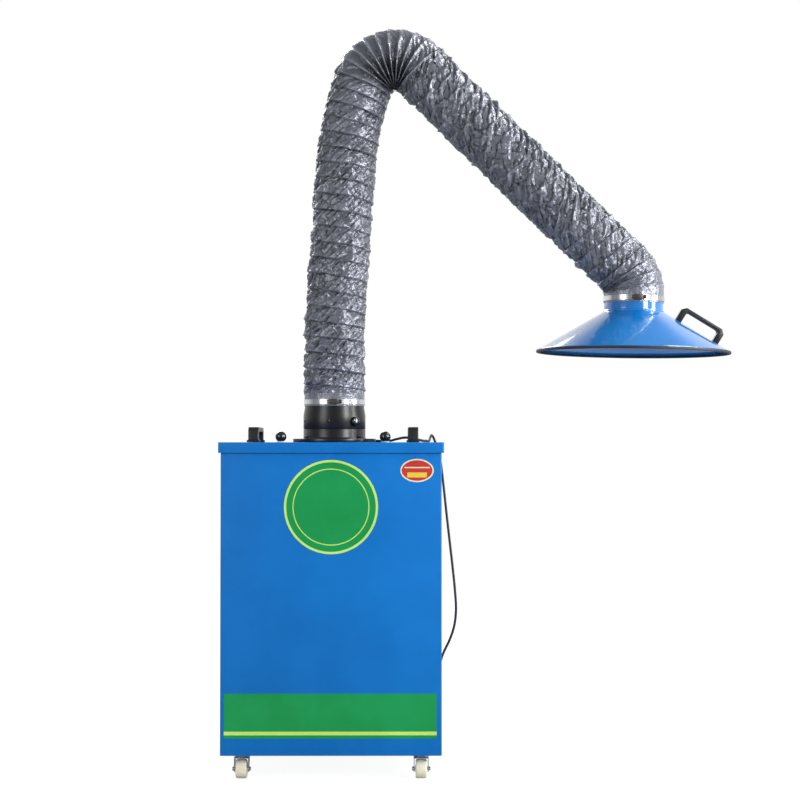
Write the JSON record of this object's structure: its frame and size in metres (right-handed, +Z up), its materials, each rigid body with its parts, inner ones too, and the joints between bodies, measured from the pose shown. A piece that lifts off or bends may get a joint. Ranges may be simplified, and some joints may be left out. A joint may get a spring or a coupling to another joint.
{
  "type": "mobile welding fume extractor",
  "caption": "Box cabinet on castors with filters, dust drawer and fan inside, and on its lid a swivelling jointed arm under a ribbed hose that carries a round suction hood.",
  "frame": {"origin": "on the floor, under the middle of the box round the whole object without its cord", "axes": "+Z up; the cabinet's plain front faces -Y; the arm folds in the XZ plane and reaches to +X"},
  "size_m": [1.3528, 0.5716, 1.9751],
  "materials": {
    "blue_paint": "powder coat, satin",
    "hood_paint": "powder coat, glossy",
    "black_paint": "powder coat, satin",
    "black_plastic": "moulded, satin",
    "knob_plastic": "moulded, glossy",
    "galvanised": "galvanised sheet",
    "bright_steel": "zinc plated, bright",
    "cream_nylon": "moulded nylon",
    "grey_fabric": "coated woven fabric",
    "filter_paper": "pleated filter paper",
    "black_rubber": "matt rubber",
    "motor_paint": "painted casting",
    "box_plastic": "moulded, matt",
    "green_plastic": "moulded, glossy",
    "red_plastic": "moulded, glossy"
  },
  "bodies": {
    "cabinet": {"body_wrap": "blue_paint", "base_tray": "blue_paint", "lid": "blue_paint", "rear_panel": "blue_paint", "door_hinge": "galvanised", "fan_deck": "galvanised", "tube_sheet": "galvanised", "inlet_duct": "galvanised", "dust_hopper": "galvanised", "filter_core_left": "galvanised", "filter_pleats_left": "filter_paper", "filter_core_right": "galvanised", "filter_pleats_right": "filter_paper", "rod_bush_left": "cream_nylon", "rod_bush_right": "cream_nylon", "fan_scroll": "galvanised", "motor": "motor_paint", "control_box": "box_plastic", "cord_gland": "black_plastic", "mount_flange": "black_paint", "handle_left": "black_plastic", "handle_right": "black_plastic", "cord_free": "black_rubber", "cord_coil": "black_rubber", "cord_plug": "black_rubber"},
    "swivel": {"swivel_collar": "black_paint", "shoulder_bolt": "bright_steel", "clamp_base": "bright_steel", "hose_base": "grey_fabric"},
    "lower_arm": {"lower_link": "galvanised", "hose_lower": "grey_fabric"},
    "upper_arm": {"upper_link": "galvanised", "elbow_bolt": "bright_steel", "wrist_bolt": "bright_steel", "hose_elbow": "grey_fabric", "hose_upper": "grey_fabric"},
    "hood": {"hood_shell": "hood_paint", "hood_trim": "black_rubber", "hood_handle": "black_plastic", "clamp_hood": "bright_steel", "hose_hood": "grey_fabric"},
    "filter_door": {"rear_door": "blue_paint", "door_handle": "black_plastic"},
    "drawer": {"dust_drawer": "blue_paint", "drawer_handle": "black_plastic"},
    "rapper_left": {"rapping_rod_left": "bright_steel", "ball_knob_left": "knob_plastic"},
    "rapper_right": {"rapping_rod_right": "bright_steel", "ball_knob_right": "knob_plastic"},
    "start": {"start_button": "green_plastic"},
    "stop": {"stop_button": "red_plastic"},
    "fan": {"impeller": "galvanised"},
    "castor_front_left": {"castor_fork_front_left": "galvanised"},
    "wheel_front_left": {"castor_wheel_front_left": "cream_nylon"},
    "castor_front_right": {"castor_fork_front_right": "galvanised"},
    "wheel_front_right": {"castor_wheel_front_right": "cream_nylon"},
    "castor_rear_left": {"castor_fork_rear_left": "galvanised"},
    "wheel_rear_left": {"castor_wheel_rear_left": "cream_nylon"},
    "castor_rear_right": {"castor_fork_rear_right": "galvanised"},
    "wheel_rear_right": {"castor_wheel_rear_right": "cream_nylon"}
  },
  "joints": [
    {"name": "arm_swivel", "type": "hinge", "parent": "cabinet", "child": "swivel", "pos_m": [-0.3884, -0.02555, 0.895], "axis": [0, 0, 1], "continuous": true},
    {"name": "arm_tilt", "type": "hinge", "parent": "swivel", "child": "lower_arm", "pos_m": [-0.3884, -0.02555, 1.05], "axis": [0, 1, 0], "range_deg": [-40, 45], "deforming": ["hose_base"]},
    {"name": "elbow_fold", "type": "hinge", "parent": "lower_arm", "child": "upper_arm", "pos_m": [-0.25978, -0.02555, 1.88936], "axis": [0, -1, 0], "range_deg": [-7, 90], "deforming": ["hose_elbow"]},
    {"name": "hood_tilt", "type": "hinge", "parent": "upper_arm", "child": "hood", "pos_m": [0.41899, -0.02555, 1.28847], "axis": [0, 1, 0], "range_deg": [-45, 30], "deforming": ["hose_hood"]},
    {"name": "door_swing", "type": "hinge", "parent": "cabinet", "child": "filter_door", "pos_m": [-0.6274, 0.23055, 0.603], "axis": [0, 0, 1], "range_deg": [0, 110]},
    {"name": "drawer_slide", "type": "slide", "parent": "cabinet", "child": "drawer", "axis": [0, 1, 0], "range_m": [0, 0.4]},
    {"name": "rapper_left_lift", "type": "slide", "parent": "cabinet", "child": "rapper_left", "axis": [0, 0, 1], "range_m": [0, 0.04]},
    {"name": "rapper_right_lift", "type": "slide", "parent": "cabinet", "child": "rapper_right", "axis": [0, 0, 1], "range_m": [0, 0.04]},
    {"name": "start_press", "type": "slide", "parent": "cabinet", "child": "start", "axis": [0, -1, 0], "range_m": [0, 0.004], "stiffness_N_per_m": 500},
    {"name": "stop_press", "type": "slide", "parent": "cabinet", "child": "stop", "axis": [0, -1, 0], "range_m": [0, 0.004], "stiffness_N_per_m": 500},
    {"name": "fan_spin", "type": "hinge", "parent": "cabinet", "child": "fan", "pos_m": [-0.3284, -0.02555, 0.195], "axis": [1, 0, 0], "continuous": true},
    {"name": "castor_front_left_swivel", "type": "hinge", "parent": "cabinet", "child": "castor_front_left", "pos_m": [-0.6184, -0.21555, 0.06], "axis": [0, 0, 1], "continuous": true},
    {"name": "wheel_front_left_roll", "type": "hinge", "parent": "castor_front_left", "child": "wheel_front_left", "pos_m": [-0.6184, -0.23355, 0.02452], "axis": [1, 0, 0], "continuous": true},
    {"name": "castor_front_right_swivel", "type": "hinge", "parent": "cabinet", "child": "castor_front_right", "pos_m": [-0.1584, -0.21555, 0.06], "axis": [0, 0, 1], "continuous": true},
    {"name": "wheel_front_right_roll", "type": "hinge", "parent": "castor_front_right", "child": "wheel_front_right", "pos_m": [-0.1584, -0.23355, 0.02452], "axis": [1, 0, 0], "continuous": true},
    {"name": "castor_rear_left_swivel", "type": "hinge", "parent": "cabinet", "child": "castor_rear_left", "pos_m": [-0.6184, 0.16445, 0.06], "axis": [0, 0, 1], "continuous": true},
    {"name": "wheel_rear_left_roll", "type": "hinge", "parent": "castor_rear_left", "child": "wheel_rear_left", "pos_m": [-0.6184, 0.14645, 0.02452], "axis": [1, 0, 0], "continuous": true},
    {"name": "castor_rear_right_swivel", "type": "hinge", "parent": "cabinet", "child": "castor_rear_right", "pos_m": [-0.1584, 0.16445, 0.06], "axis": [0, 0, 1], "continuous": true},
    {"name": "wheel_rear_right_roll", "type": "hinge", "parent": "castor_rear_right", "child": "wheel_rear_right", "pos_m": [-0.1584, 0.14645, 0.02452], "axis": [1, 0, 0], "continuous": true}
  ]
}
